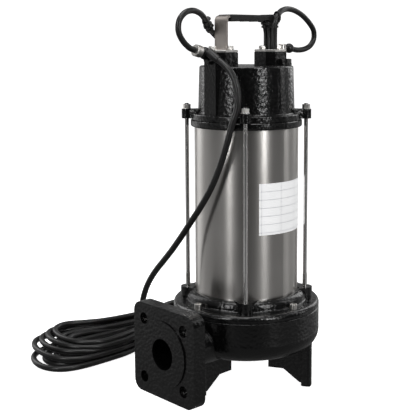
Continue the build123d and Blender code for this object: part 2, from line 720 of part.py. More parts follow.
# start capacitor and the terminal block inside the cover
with BuildPart() as capacitor:
    with BuildSketch(at(404.0)):
        with Locations((-26.0, 0)):
            Circle(20.0)
    extrude(amount=50.0)
    fillet(capacitor.edges().filter_by(GeomType.CIRCLE), radius=2.5)
    with BuildSketch(at(453.9)):
        with Locations((-26.0, -7.0), (-26.0, 7.0)):
            Rectangle(1.0, 6.0)
    extrude(amount=8.0)
save("run_capacitor", capacitor.part)

with BuildPart() as capacitor_clamp:
    with BuildSketch(at(416.0)):
        with Locations((-26.0, 0)):
            Circle(21.6)
            Circle(20.1, mode=Mode.SUBTRACT)
            with Locations((26.0, 0)):
                Rectangle(11.0, 14.0)
    extrude(amount=12.0)
    with BuildSketch(at(398.7)):
        with Locations((3.5, 0)):
            Rectangle(4.0, 14.0)
    extrude(amount=17.4)
    with BuildSketch(at(394.1)):
        with Locations((10.0, 0)):
            Rectangle(17.0, 14.0)
    extrude(amount=4.7)
save("capacitor_clamp", capacitor_clamp.part)

with BuildPart() as terminal_block:
    with BuildSketch(at(394.1)):
        with Locations((36.0, 0)):
            Rectangle(16.0, 44.0)
    extrude(amount=20.0)
    with BuildSketch(at(414.1)):
        with Locations((36.0, 0)):
            with GridLocations(0, 10.0, 1, 4):
                Circle(3.0)
    extrude(amount=-6.0, mode=Mode.SUBTRACT)
    with BuildSketch(at(414.1)):
        with Locations((36.0, 0)):
            with GridLocations(0, 10.0, 1, 5):
                Rectangle(15.0, 1.6)
    extrude(amount=4.0)
    with BuildSketch(at(390.0)):
        with Locations((36.0, -18.0), (36.0, 18.0)):
            Rectangle(12.0, 5.0)
    extrude(amount=4.2)
save("terminal_block", terminal_block.part)

# ------------------------------------------------------------ box lids and bolts
def lid(sign, holes):
    """Lid plate with its bolt holes and the holes of the leads that enter it."""
    with BuildPart() as plate:
        with BuildSketch(at(Z_LID)):
            with BuildLine():
                Polyline(*octagon(BOX_A - 0.3, 10.0, sign * BOX_Y))
            make_face()
            with Locations((0, sign * BOX_Y - LID_BOLT), (0, sign * BOX_Y + LID_BOLT)):
                Circle(3.3, mode=Mode.SUBTRACT)
            with Locations(*holes):
                Circle(LEAD_D / 2 + 0.4, mode=Mode.SUBTRACT)
        extrude(amount=LID_T)
        fillet(plate.edges().group_by(Axis.Z)[-1].filter_by(GeomType.LINE), radius=0.7)
    with BuildPart() as seal:
        with BuildSketch(at(Z_BOX_TOP)):
            with BuildLine():
                Polyline(*octagon(BOX_A - 0.6, 10.0, sign * BOX_Y))
            make_face()
            with Locations((0, sign * BOX_Y)):
                RectangleRounded(36.0, 21.0, 4.0, mode=Mode.SUBTRACT)
            with Locations(*holes):
                Circle(LEAD_D / 2 + 0.4, mode=Mode.SUBTRACT)
            with Locations((0, sign * BOX_Y - LID_BOLT), (0, sign * BOX_Y + LID_BOLT)):
                Circle(3.3, mode=Mode.SUBTRACT)
        extrude(amount=Z_LID - Z_BOX_TOP)
    return plate.part, seal.part


left_plate, left_seal = lid(-1, LEFT_HOLES)
right_plate, right_seal = lid(1, RIGHT_HOLES)
save("left_box_lid", left_plate)
save("right_box_lid", right_plate)
save("lid_gaskets", Compound(children=[left_seal, right_seal]))

with BuildPart() as lid_bolts:
    spots = [(0, s * BOX_Y + t * LID_BOLT) for s in (-1, 1) for t in (-1, 1)]
    with BuildSketch(at(Z_LID_TOP)):
        with Locations(*spots):
            Circle(5.8)
    extrude(amount=1.0)
    with BuildSketch(at(Z_LID_TOP + 1.0)):
        with Locations(*spots):
            RegularPolygon(5.0, 6, major_radius=False)
    extrude(amount=4.6)
    chamfer(lid_bolts.edges().group_by(Axis.Z)[-1], length=0.5)
    with BuildSketch(at(Z_LID_TOP + 0.5)):
        with Locations(*spots):
            Circle(3.0)
    extrude(amount=-10.0)
save("lid_bolts", lid_bolts.part)

# ---------------------------------------------------------------------- handle
with BuildPart() as handle_strap:
    with BuildSketch(side(0)):
        with BuildLine():
            FilletPolyline((-STRAP_Y, Z_LID_TOP), (-STRAP_Y, Z_STRAP_TOP), (STRAP_Y, Z_STRAP_TOP), (STRAP_Y, Z_LID_TOP), radius=7.0)
            Line((STRAP_Y, Z_LID_TOP), (STRAP_Y - STRAP_T, Z_LID_TOP))
            FilletPolyline(
                (STRAP_Y - STRAP_T, Z_LID_TOP), (STRAP_Y - STRAP_T, Z_STRAP_TOP - STRAP_T),
                (-STRAP_Y + STRAP_T, Z_STRAP_TOP - STRAP_T), (-STRAP_Y + STRAP_T, Z_LID_TOP), radius=4.0,
            )
            Line((-STRAP_Y + STRAP_T, Z_LID_TOP), (-STRAP_Y, Z_LID_TOP))
        make_face()
    extrude(amount=STRAP_W / 2, both=True)
    # weld fillets at the feet
    for s in (-1, 1):
        with BuildSketch(side(0)):
            with BuildLine():
                Polyline((s * STRAP_Y, Z_LID_TOP), (s * (STRAP_Y + 1.6), Z_LID_TOP), (s * STRAP_Y, Z_LID_TOP + 1.6), (s * STRAP_Y, Z_LID_TOP))
            make_face()
        extrude(amount=STRAP_W / 2 - 1.0, both=True)
save("handle_strap", handle_strap.part)

GRIP_HALF = 43.0
with BuildPart() as handle_grip:
    with BuildSketch(side(0)):
        with BuildLine():
            Line((-GRIP_HALF, 541.6), (-GRIP_HALF, 550.0))
            Line((-GRIP_HALF, 550.0), (GRIP_HALF, 550.0))
            Line((GRIP_HALF, 550.0), (GRIP_HALF, 541.6))
            g0 = ThreePointArc((GRIP_HALF, 541.6), (41.0, 540.2), (38.0, 540.4))
            g1 = ThreePointArc((38.0, 540.4), (28.5, 542.8), (19.0, 540.4))
            g2 = ThreePointArc((19.0, 540.4), (9.5, 542.8), (0.0, 540.4))
            g3 = ThreePointArc((0.0, 540.4), (-9.5, 542.8), (-19.0, 540.4))
            g4 = ThreePointArc((-19.0, 540.4), (-28.5, 542.8), (-38.0, 540.4))
            g5 = ThreePointArc((-38.0, 540.4), (-41.0, 540.2), (-GRIP_HALF, 541.6))
        make_face()
    extrude(amount=13.7, both=True)
    fillet(handle_grip.edges().filter_by(Axis.Y).group_by(Axis.Z)[-1], radius=2.4)
    # the strap runs through it
    with BuildSketch(at(Z_STRAP_TOP - STRAP_T - 0.1)):
        Rectangle(STRAP_W + 0.2, 2 * STRAP_Y + 6.0)
    extrude(amount=STRAP_T + 0.2, mode=Mode.SUBTRACT)
    # pockets that take the ends of the short and the middle lead
    with BuildSketch(at(538.0)):
        with Locations((-2.0, 38.6), (6.4, 38.6)):
            Circle(5.4)
    extrude(amount=6.6, mode=Mode.SUBTRACT)
    # thin top skin, reaching out over the strap at the right end
    with BuildSketch(at(Z_STRAP_TOP + 0.1)):
        with Locations((0, 5.0)):
            Rectangle(25.6, 90.0)
    extrude(amount=1.5)
save("handle_grip", handle_grip.part)

# -------------------------------------------------------------- tie rods, bolts
with BuildPart() as tie_rods:
    with BuildSketch(at(125.0)):
        with PolarLocations(R_ROD_CIRCLE, 4, start_angle=45):
            Circle(3.5)
    extrude(amount=41.0)
    with BuildSketch(at(165.9)):
        with PolarLocations(R_ROD_CIRCLE, 4, start_angle=45):
            Circle(ROD_R)
    extrude(amount=Z_LUG_TOP + 8.4 - 165.9)
save("tie_rods", tie_rods.part)

with BuildPart() as tie_rod_nuts:
    with BuildSketch(at(Z_LUG_TOP)):
        with PolarLocations(R_ROD_CIRCLE, 4, start_angle=45):
            Circle(6.2)
            Circle(3.05, mode=Mode.SUBTRACT)
    extrude(amount=1.2)
    with BuildSketch(at(Z_LUG_TOP + 1.2)):
        with PolarLocations(R_ROD_CIRCLE, 4, start_angle=45):
            RegularPolygon(5.1, 6, major_radius=False)
            Circle(3.05, mode=Mode.SUBTRACT)
    extrude(amount=5.6)
save("tie_rod_nuts", tie_rod_nuts.part)

with BuildPart() as flange_bolts:
    with BuildSketch(at(130.6)):
        with PolarLocations(97.0, 4):
            Circle(5.0)
    extrude(amount=7.4)
    fillet(flange_bolts.edges().group_by(Axis.Z)[-1], radius=0.8)
    with BuildSketch(at(138.0)):
        with PolarLocations(97.0, 4):
            RegularPolygon(2.9, 6)
    extrude(amount=-4.0, mode=Mode.SUBTRACT)
    with BuildSketch(at(131.0)):
        with PolarLocations(97.0, 4):
            Circle(3.0)
    extrude(amount=-23.4)
save("flange_bolts", flange_bolts.part)

# thin wrapped nameplate, left blank
with BuildPart() as nameplate:
    with BuildSketch(at(239.0)):
        with BuildLine():
            n1 = CenterArc((0, 0), R_JACKET + 0.5, -30.5, 82.0)
            n2 = CenterArc((0, 0), R_JACKET + 0.05, -30.5, 82.0)
            Line(n1 @ 0, n2 @ 0)
            Line(n1 @ 1, n2 @ 1)
        make_face()
    extrude(amount=74.0)
save("nameplate", nameplate.part)

# --------------------------------------------------------------- cable fittings
LEFT_BOOT = (0.0, -81.2, 495.6)
RIGHT_BOOT = (0.0, 91.0, 501.2)
RIGHT_GLAND = (-3.0, 78.5)


def world(p):
    return (p[0], p[1] + AXIS_Y, p[2])


def along(p, d, k):
    return (p[0] + k * d[0], p[1] + k * d[1], p[2] + k * d[2])


# supply cable: exit point and direction at the left boot
EXIT = (6.9, -79.8, 497.0)
EXIT_DIR = (0.836, 0.147, -0.528)
RELIEF_L = 20.0
CABLE = [
    along(EXIT, EXIT_DIR, RELIEF_L), along(EXIT, EXIT_DIR, RELIEF_L + 16.5), (48.2, -72.5, 466.2), (55.3, -71.3, 450.8),
    (57.7, -71.0, 434.0), (56.3, -72.8, 417.0), (51.6, -78.6, 397.0), (45.6, -82.6, 368.3), (35.2, -86.6, 336.6),
    (23.4, -91.3, 307.5), (6.6, -95.3, 280.7), (-13.6, -97.5, 255.4), (-32.5, -97.3, 233.8), (-54.5, -96.0, 210.8),
    (-75.9, -95.2, 189.9), (-96.0, -95.2, 171.0), (-114.2, -94.4, 151.4), (-129.8, -92.2, 129.6),
    (-143.4, -87.6, 106.8), (-156.5, -79.6, 84.8), (-170.0, -68.6, 64.5), (-186.0, -56.0, 46.6), (-204.5, -42.4, 32.2),
    (-226.0, -28.6, 21.0),
]


def radii(points):
    """Largest even arc of each corner: 0.45 of the shorter run over the tangent of half the turn."""
    out = []
    for a, b, c in zip(points, points[1:], points[2:]):
        u, v = Vector(*b) - Vector(*a), Vector(*c) - Vector(*b)
        turn = u.get_angle(v)
        out.append(0.45 * min(u.length, v.length) / math.tan(math.radians(turn / 2)))
    return out


def lead(points, diameter, name):
    """A round lead along straight runs joined by tangent arcs."""
    pts = [world(p) for p in points]
    rr = radii(pts)
    with BuildPart() as tube:
        with BuildLine() as line:
            FilletPolyline(*pts, radius=rr)
        with BuildSketch(Plane(origin=pts[0], z_dir=tuple(Vector(*pts[1]) - Vector(*pts[0])))):
            Circle(diameter / 2)
        sweep(path=line.wires()[0])
    length = line.wires()[0].length
    print(
        name, "length %.1f" % length, "volume ratio %.4f" % (tube.part.volume / (math.pi * diameter**2 / 4 * length)),
        "radii", [round(r, 1) for r in rr], "smallest / d %.2f" % (min(rr) / diameter),
    )
    return tube.part


# left elbow boot: a rubber ball with a neck into the box wall
BOOT_OUT = (0.0, -0.97, 0.243)
RING_SEAT = along(LEFT_BOOT, BOOT_OUT, 8.6)
with BuildPart() as left_boot:
    with Locations(world(LEFT_BOOT)):
        Sphere(8.9, rotation=(30, 40, 200))
    with BuildSketch(facing(-(BOX_Y + BOX_A - 6.0))):
        with Locations((0, Z_ENTRY)):
            Circle(4.9)
    extrude(amount=9.0)
    with BuildSketch(facing(-(BOX_Y + BOX_A))):
        with Locations((0, Z_ENTRY + 2.0)):
            Circle(6.4)
    extrude(amount=6.0)
    # flat seats where the cable and the ring meet the ball; the box wall side is flat too
    with BuildSketch(Plane(origin=world(EXIT), z_dir=EXIT_DIR)):
        Circle(12.0)
    extrude(amount=8.0, mode=Mode.SUBTRACT)
    with BuildSketch(Plane(origin=world(RING_SEAT), z_dir=BOOT_OUT)):
        Circle(14.0)
    extrude(amount=8.0, mode=Mode.SUBTRACT)
    with BuildSketch(facing(-(BOX_Y + BOX_A))):
        with Locations((0, 503.5)):
            Rectangle(24.0, 16.0)
    extrude(amount=-12.0, mode=Mode.SUBTRACT)
save("left_cable_boot", left_boot.part)

# tapered strain relief around the first stretch of the supply cable
with BuildPart() as relief:
    with BuildSketch(Plane(origin=world(EXIT), z_dir=EXIT_DIR)):
        Circle(6.6)
    with BuildSketch(Plane(origin=world(along(EXIT, EXIT_DIR, RELIEF_L)), z_dir=EXIT_DIR)):
        Circle(5.3)
    loft()
save("cable_strain_relief", relief.part)

# stainless collar of the left loop lead
with BuildPart() as left_ring:
    with BuildSketch(Plane(origin=world(RING_SEAT), z_dir=BOOT_OUT)):
        Circle(8.5)
    extrude(amount=10.5)
    fillet(left_ring.edges().filter_by(GeomType.CIRCLE), radius=1.0)
    with BuildSketch(Plane(origin=world(along(RING_SEAT, BOOT_OUT, 10.5)), z_dir=BOOT_OUT)):
        Circle(6.6)
        Circle(LEAD_D / 2, mode=Mode.SUBTRACT)
    extrude(amount=-1.6, mode=Mode.SUBTRACT)
save("left_lead_collar", left_ring.part)

LEFT_LEAD = [
    along(RING_SEAT, BOOT_OUT, 10.5), along(RING_SEAT, BOOT_OUT, 19.5), (0, -121.0, 511.8), (0, -129.6, 525.0),
    (0, -128.4, 540.8), (-1.5, -115.5, 552.4), (-4.0, -98.0, 555.2), (-7.5, -81.0, 550.6), (-11.5, -69.5, 542.6),
    (-17.2, -60.5, 532.4), (-18.4, -47.8, 523.4), (-10.4, -42.0, 513.0), (-4.7, -43.2, 500.8), (-4.5, -43.4, 492.0),
]
save("left_loop_lead", lead(LEFT_LEAD, LEAD_D, "left loop lead"))

# stainless elbow of the right loop lead, then its rubber ball
with BuildPart() as right_gland:
    with BuildSketch(at(478.2)):
        with Locations(RIGHT_GLAND):
            Circle(6.2)
    extrude(amount=29.8)
    fillet(right_gland.edges().filter_by(GeomType.CIRCLE), radius=1.6)
    with BuildSketch(at(499.0)):
        with Locations(RIGHT_GLAND):
            Circle(6.9)
    extrude(amount=4.0)
    with BuildSketch(facing(BOX_Y + BOX_A - 6.0)):
        with Locations((0, Z_ENTRY)):
            Circle(4.9)
    extrude(amount=-10.0)
save("right_gland_elbow", right_gland.part)

R_DIR = (0.0, 0.985, -0.172)
R_EXIT = along(RIGHT_BOOT, R_DIR, 6.4)
with BuildPart() as right_boot:
    with Locations(world(RIGHT_BOOT)):
        Sphere(7.4)
    with BuildSketch(at(480.0)):
        with Locations(RIGHT_GLAND):
            Circle(6.95)
    extrude(amount=40.0, mode=Mode.SUBTRACT)
    with BuildSketch(Plane(origin=world(R_EXIT), z_dir=R_DIR)):
        Circle(12.0)
    extrude(amount=8.0, mode=Mode.SUBTRACT)
save("right_cable_boot", right_boot.part)

RIGHT_LEAD = [
    R_EXIT, along(R_EXIT, R_DIR, 11.5), (0, 124.0, 498.8), (0, 139.0, 503.8), (0, 148.4, 515.0), (1.0, 146.4, 529.0),
    (2.0, 133.0, 541.6), (3.5, 114.5, 552.8), (5.0, 94.5, 559.4), (8.0, 75.0, 560.4), (13.5, 57.5, 556.4),
    (18.0, 46.0, 549.0), (17.5, 41.2, 538.0), (15.4, 42.8, 524.0), (14.8, 43.4, 508.0), (14.8, 43.4, 492.0),
]
save("right_loop_lead", lead(RIGHT_LEAD, LEAD_D, "right loop lead"))

SHORT_LEAD = [(-1.6, 43.6, 492.0), (-1.6, 43.6, 508.0), (-1.7, 43.3, 524.0), (-2.0, 40.4, 536.0), (-2.0, 38.0, 543.0)]
save("right_short_lead", lead(SHORT_LEAD, LEAD_D - 0.4, "right short lead"))

MIDDLE_LEAD = [(6.5, 43.5, 492.0), (6.5, 43.5, 508.0), (6.5, 43.3, 524.0), (6.4, 40.4, 536.0), (6.4, 38.0, 543.0)]
save("right_middle_lead", lead(MIDDLE_LEAD, LEAD_D - 0.4, "right middle lead"))

# cable ties: two around the three leads under the grip, one around the grip's end
# and the loop lead, three around the left lead
with BuildPart() as cable_ties:
    for z, centre, span, turn, head_x in ((536.3, (7.75, 40.45), 19.5, 4.4, 12.5), (531.8, (7.4, 41.35), 18.8, 2.1, 3.0)):
        with BuildSketch(at(z)):
            with Locations(centre):
                SlotCenterToCenter(span, 11.6, rotation=turn)
                SlotCenterToCenter(span, 9.0, rotation=turn, mode=Mode.SUBTRACT)
        extrude(amount=3.2)
        with BuildSketch(at(z - 0.7)):
            with Locations((head_x, centre[1] - 7.0)):
                RectangleRounded(5.8, 4.0, 0.8)
        extrude(amount=4.6)
    with BuildSketch(facing(48.0)):
        with BuildLine():
            Polyline(
                (-15.1, 538.8), (-15.1, 551.4), (11.6, 551.4), (12.7, 554.2), (15.6, 556.1), (19.5, 556.1), (23.0, 552.7),
                (23.8, 548.0), (23.5, 543.5), (20.1, 538.8), (-15.1, 538.8),
            )
        make_face()
        with BuildLine():
            Polyline(
                (-13.9, 540.0), (-13.9, 550.3), (12.4, 550.3), (13.7, 553.5), (16.1, 555.0), (19.0, 555.0), (22.0, 552.0),
                (22.6, 548.0), (22.4, 544.0), (19.6, 540.0), (-13.9, 540.0),
            )
        make_face(mode=Mode.SUBTRACT)
    extrude(amount=3.2)
    for i, k in ((8, 0.25), (8, 0.85), (9, 0.35)):
        p, q = Vector(*LEFT_LEAD[i]), Vector(*LEFT_LEAD[i + 1])
        c = p + (q - p) * k
        d = (q - p).normalized()
        with BuildSketch(Plane(origin=world(tuple(c)), x_dir=(1, 0, 0), z_dir=tuple(d))):
            Circle(LEAD_D / 2 + 1.4)
            with Locations((0, -LEAD_D / 2 - 2.2)):
                RectangleRounded(5.6, 4.6, 0.8)
            Circle(LEAD_D / 2, mode=Mode.SUBTRACT)
        extrude(amount=1.9, both=True)
save("cable_ties", cable_ties.part)

# ------------------------------------------------------- supply cable and hank
save("supply_cable", lead(CABLE, CABLE_D, "supply cable"))

HANK_H = 40.0
with BuildPart() as hank:
    with BuildSketch(at(0.2)):
        with BuildLine():
            Spline(
                (-213.0, 102.0), (-214.5, 60.0), (-221.0, 20.0), (-222.0, -20.0), (-216.0, -80.0), (-209.0, -150.0),
                (-219.0, -192.0), (-246.0, -211.0), (-288.0, -212.0), (-326.0, -192.0), (-341.0, -155.0), (-338.0, -112.0),
                (-320.0, -62.0), (-309.0, -10.0), (-309.0, 30.0), (-320.0, 80.0), (-322.0, 118.0), (-306.0, 149.0),
                (-270.0, 162.0), (-236.0, 150.0), (-218.0, 128.0), periodic=True,
            )
        make_face()
        with BuildLine():
            Spline(
                (-250.0, -140.0), (-258.0, -166.0), (-277.0, -174.0), (-296.0, -163.0), (-302.0, -138.0), (-292.0, -96.0),
                (-272.0, -64.0), (-257.0, -98.0), periodic=True,
            )
        make_face(mode=Mode.SUBTRACT)
        with BuildLine():
            Spline(
                (-252.0, 108.0), (-262.0, 122.0), (-276.0, 122.0), (-284.0, 108.0), (-280.0, 84.0), (-268.0, 66.0),
                (-256.0, 82.0), periodic=True,
            )
        make_face(mode=Mode.SUBTRACT)
    extrude(amount=HANK_H)
    fillet(hank.edges().group_by(Axis.Z)[-1], radius=9.0)
save("supply_cable_hank", hank.part)

# plug: moulded body on its side beside the hank, with round pins
PLUG_Y = 103.0
PLUG_Z = 19.6
with BuildPart() as plug:
    with BuildSketch(Plane(origin=(-213.4, AXIS_Y + PLUG_Y, PLUG_Z), x_dir=(0, 1, 0), z_dir=(0, 0, 1))):
        with BuildLine():
            Line((0, 0), (6.2, 0))
            Line((6.2, 0), (7.6, -24.0))
            Line((7.6, -24.0), (13.0, -28.0))
            ThreePointArc((13.0, -28.0), (16.2, -40.0), (15.0, -54.0))
            Line((15.0, -54.0), (19.2, -58.0))
            Line((19.2, -58.0), (19.2, -74.0))
            Line((19.2, -74.0), (17.8, -75.6))
            Line((17.8, -75.6), (0, -75.6))
            Line((0, -75.6), (0, 0))
        make_face()
    revolve(axis=Axis((-213.4, AXIS_Y + PLUG_Y, PLUG_Z), (1, 0, 0)))
    with BuildSketch(Plane(origin=(-213.4 + 75.6, AXIS_Y + PLUG_Y, PLUG_Z), x_dir=(0, 1, 0), z_dir=(1, 0, 0))):
        with Locations((-9.5, 0), (9.5, 0)):
            Circle(2.4)
    extrude(amount=-14.0, mode=Mode.SUBTRACT)
    # earth clip slots at the rim
    with BuildSketch(Plane(origin=(-213.4 + 75.6, AXIS_Y + PLUG_Y, PLUG_Z), x_dir=(0, 1, 0), z_dir=(1, 0, 0))):
        with Locations((0, 18.6), (0, -18.6)):
            Rectangle(6.0, 3.6)
    extrude(amount=-14.0, mode=Mode.SUBTRACT)
save("supply_plug", plug.part)

with BuildPart() as plug_pins:
    with BuildSketch(Plane(origin=(-213.4 + 62.0, AXIS_Y + PLUG_Y, PLUG_Z), x_dir=(0, 1, 0), z_dir=(1, 0, 0))):
        with Locations((-9.5, 0), (9.5, 0)):
            Circle(2.4)
    extrude(amount=32.0)
    fillet(plug_pins.edges().group_by(Axis.X)[-1], radius=1.6)
save("plug_pins", plug_pins.part)

loose = {"supply_cable", "supply_cable_hank", "supply_plug", "plug_pins", "cable_strain_relief"}
box = None
for name, piece in nodes.items():
    if name in loose:
        continue
    bb = piece.bounding_box()
    lo = (bb.min.X, bb.min.Y, bb.min.Z) if box is None else tuple(min(x, y) for x, y in zip(box[0], (bb.min.X, bb.min.Y, bb.min.Z)))
    hi = (bb.max.X, bb.max.Y, bb.max.Z) if box is None else tuple(max(x, y) for x, y in zip(box[1], (bb.max.X, bb.max.Y, bb.max.Z)))
    box = (lo, hi)
print("nodes", len(nodes), "box without the loose cable", [round(v, 2) for v in box[0] + box[1]])
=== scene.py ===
import json
import math

import bmesh
import bpy
from mathutils import Matrix, Vector


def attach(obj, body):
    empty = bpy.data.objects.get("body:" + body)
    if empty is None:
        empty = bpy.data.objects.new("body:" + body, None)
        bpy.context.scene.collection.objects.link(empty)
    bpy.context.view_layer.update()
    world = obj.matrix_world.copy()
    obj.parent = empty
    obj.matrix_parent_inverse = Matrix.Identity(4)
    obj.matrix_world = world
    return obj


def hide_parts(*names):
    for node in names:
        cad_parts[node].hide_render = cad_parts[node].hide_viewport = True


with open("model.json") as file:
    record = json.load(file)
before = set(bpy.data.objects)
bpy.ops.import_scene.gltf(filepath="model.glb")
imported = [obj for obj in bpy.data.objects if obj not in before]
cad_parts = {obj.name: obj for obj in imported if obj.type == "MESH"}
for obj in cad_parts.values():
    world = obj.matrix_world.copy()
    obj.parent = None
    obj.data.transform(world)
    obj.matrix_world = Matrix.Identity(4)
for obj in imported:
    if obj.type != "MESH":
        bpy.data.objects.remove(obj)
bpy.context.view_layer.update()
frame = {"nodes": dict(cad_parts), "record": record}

AXIS_Y = 0.0097
FOOT_PRINT = None
nodes = frame["nodes"]


# ------------------------------------------------------------------- camera
def make_camera():
    cam = bpy.data.cameras.new("camera")
    obj = bpy.data.objects.new("camera", cam)
    bpy.context.scene.collection.objects.link(obj)
    az, pitch, dist, height = math.radians(45.876), math.radians(7.28), 1.3481, 0.51764
    obj.location = (dist * math.sin(az), -dist * math.cos(az) + AXIS_Y, height)
    obj.rotation_euler = (math.radians(90) - pitch, 0, az)
    cam.sensor_width = 36.0
    cam.lens = 916.81 / 416 * 36.0
    cam.shift_x = (208 - 246.386) / 416
    cam.shift_y = (154.521 - 208) / 416
    cam.clip_start = 0.05
    bpy.context.scene.camera = obj
    return obj


camera = make_camera()

# -------------------------------------------------------------- supply cable
EXIT = (0.0069, -0.0798, 0.4970)
EXIT_DIR = (0.836, 0.147, -0.528)
RELIEF_L = 0.020


def along(p, d, k):
    return tuple(a + k * b for a, b in zip(p, d))


CABLE = [
    along(EXIT, EXIT_DIR, RELIEF_L), along(EXIT, EXIT_DIR, RELIEF_L + 0.0165), (0.0482, -0.0725, 0.4662), (0.0553, -0.0713, 0.4508),
    (0.0577, -0.0710, 0.4340), (0.0563, -0.0728, 0.4170), (0.0516, -0.0786, 0.3970), (0.0456, -0.0826, 0.3683), (0.0352, -0.0866, 0.3366),
    (0.0234, -0.0913, 0.3075), (0.0066, -0.0953, 0.2807), (-0.0136, -0.0975, 0.2554), (-0.0325, -0.0973, 0.2338), (-0.0545, -0.0960, 0.2108),
    (-0.0759, -0.0952, 0.1899), (-0.0960, -0.0952, 0.1710), (-0.1142, -0.0944, 0.1514), (-0.1298, -0.0922, 0.1296),
    (-0.1434, -0.0876, 0.1068), (-0.1565, -0.0796, 0.0848), (-0.1700, -0.0686, 0.0645), (-0.1860, -0.0560, 0.0466), (-0.2045, -0.0424, 0.0322),
    (-0.2260, -0.0286, 0.0210),
]

# Turns of the hank in millimetres, bottom to top: the left end of each turn from
# its near run round to its far run.  Near runs are at x about -210, far runs at
# x about -320; the turns fan out at the left end and gather towards the waist.
TURNS = [
    # lowest turn, lying on the floor and sticking out furthest to the front
    dict(near=3, far=0, z=4.9, left=[(-209, -62, 4.9), (-207, -112, 4.9), (-207, -158, 4.9), (-217, -189, 4.9), (-243, -204, 4.9), (-274, -202, 4.9), (-303, -189, 4.9), (-321, -163, 4.9), (-326, -126, 4.9), (-318, -82, 4.9), (-310, -34, 4.9)]),
    dict(near=12, far=10, z=5.0, left=[(-220, -60, 5.0), (-217, -108, 5.0), (-219, -144, 5.0), (-229, -170, 5.0), (-249, -185, 5.0), (-273, -185, 5.0), (-294, -171, 5.0), (-308, -145, 5.0), (-310, -110, 5.0), (-303, -70, 5.0), (-299, -28, 5.0)]),
    dict(near=21, far=19, z=5.2, left=[(-229, -60, 5.2), (-228, -98, 5.2), (-229, -124, 5.6), (-236, -145, 6.0), (-249, -159, 6.2), (-266, -164, 6.2), (-283, -159, 6.0), (-295, -144, 5.6), (-299, -122, 5.2), (-296, -90, 5.2), (-292, -30, 5.2)]),
    dict(near=4, far=5, z=14.0, left=[(-212, -60, 14.0), (-209, -106, 14.0), (-210, -144, 14.4), (-221, -172, 15.2), (-246, -187, 16.4), (-280, -189, 17.6), (-314, -181, 18.8), (-337, -160, 19.4), (-340, -126, 18.0), (-330, -84, 15.0), (-318, -36, 14.0)]),
    dict(near=14, far=14.5, z=14.2, left=[(-223, -58, 14.2), (-221, -96, 14.2), (-222, -120, 14.4), (-230, -141, 14.6), (-243, -155, 15.0), (-260, -161, 15.2), (-277, -157, 15.4), (-290, -144, 15.0), (-295, -123, 14.6), (-291, -96, 14.4), (-286, -34, 14.4)]),
    dict(near=12, far=14, z=22.8, left=[(-217, -58, 22.6), (-214, -96, 22.0), (-217, -130, 21.6), (-229, -155, 21.6), (-253, -171, 22.2), (-286, -174, 23.0), (-315, -166, 24.0), (-334, -148, 24.2), (-337, -121, 23.0), (-326, -84, 22.6), (-311, -38, 22.8)]),
    dict(near=24, far=24, z=14.6, left=[(-236, -50, 14.6), (-234, -82, 14.6), (-235, -104, 15.6), (-240, -122, 17.0), (-252, -135, 18.6), (-268, -140, 20.4), (-284, -136, 21.8), (-296, -123, 22.6), (-300, -104, 22.6), (-298, -76, 20.4), (-291, -30, 15.6)]),
    dict(near=22, far=25, z=23.4, left=[(-229, -54, 23.4), (-224, -86, 23.4), (-224, -110, 23.4), (-231, -131, 23.4), (-246, -146, 23.6), (-267, -152, 23.8), (-288, -149, 24.0), (-304, -138, 24.2), (-311, -119, 24.2), (-307, -92, 23.8), (-292, -40, 23.4)]),
    dict(near=2, far=3, z=23.0, left=[(-213, -52, 23.0), (-211, -92, 23.2), (-216, -126, 24.4), (-232, -150, 27.0), (-259, -163, 29.4), (-290, -163, 30.6), (-316, -153, 31.0), (-330, -135, 30.6), (-333, -109, 28.6), (-329, -76, 25.4), (-318, -34, 23.2)]),
    dict(near=6, far=12, z=32.0, left=[(-222, -48, 32.0), (-217, -82, 32.0), (-216, -112, 32.0), (-227, -136, 32.6), (-252, -150, 33.6), (-284, -151, 34.4), (-312, -142, 35.0), (-326, -126, 35.4), (-328, -106, 35.2), (-318, -80, 33.4), (-305, -44, 32.0)]),
]


def hank_points():
    """Each turn runs up the near side, round the right end, back along the far side
    and round the left end, and climbs to the next turn on the near side."""
    pts = []
    count = len(TURNS)
    for k, t in enumerate(TURNS):
        z, n, f = t["z"], t["near"], t["far"]
        wob = 2.5 * math.sin(2.1 * k + 0.6)
        pts += [(-221 - 0.8 * n, -22, z), (-225 - 0.8 * n, 14, z), (-225 - 0.8 * n, 50, z), (-222 - 0.7 * n, 84, z)]
        # the right end spreads a little and is round
        xn, xf = -219 - 0.62 * n, -316 + 0.62 * f
        a, cx = (xn - xf) / 2, (xn + xf) / 2
        b = min(1.1 * a, 48.0) - 0.1 * n
        top = 157 - 0.95 * n + 0.3 * wob
        for q in (3, 31, 60, 90, 120, 149, 177):
            c = math.radians(q)
            pts.append((cx + 1.03 * a * math.cos(c), top - b + b * 1.03 * math.sin(c), z))
        pts += [(-312 + 0.7 * f, 82, z), (-305 + 0.7 * f, 48, z), (-303 + 0.62 * f, 14, z)]
        nxt = TURNS[(k + 1) % count]
        zn = nxt["z"] if k < count - 1 else 33.0
        left = t["left"][::-1]
        m = len(left)
        # the climb to the next turn is spread over the last points of the left end
        for i, (x, y, h) in enumerate(left):
            c = max(0.0, (i - m + 4) / 4.0)
            pts.append((x, y, h + c * 0.6 * (zn - z)))
    # along the near side and round into the plug
    pts += [(-233, -14, 33.0), (-240, 24, 33.0), (-245, 56, 31.0), (-243, 82, 27.0), (-233, 98, 23.0), (-221, 102.6, 20.4), (-213.4, 103, 19.6)]
    return [(x / 1000, y / 1000, z / 1000) for x, y, z in pts]


def shifted(points):
    return [(x, y + AXIS_Y, z) for x, y, z in points]


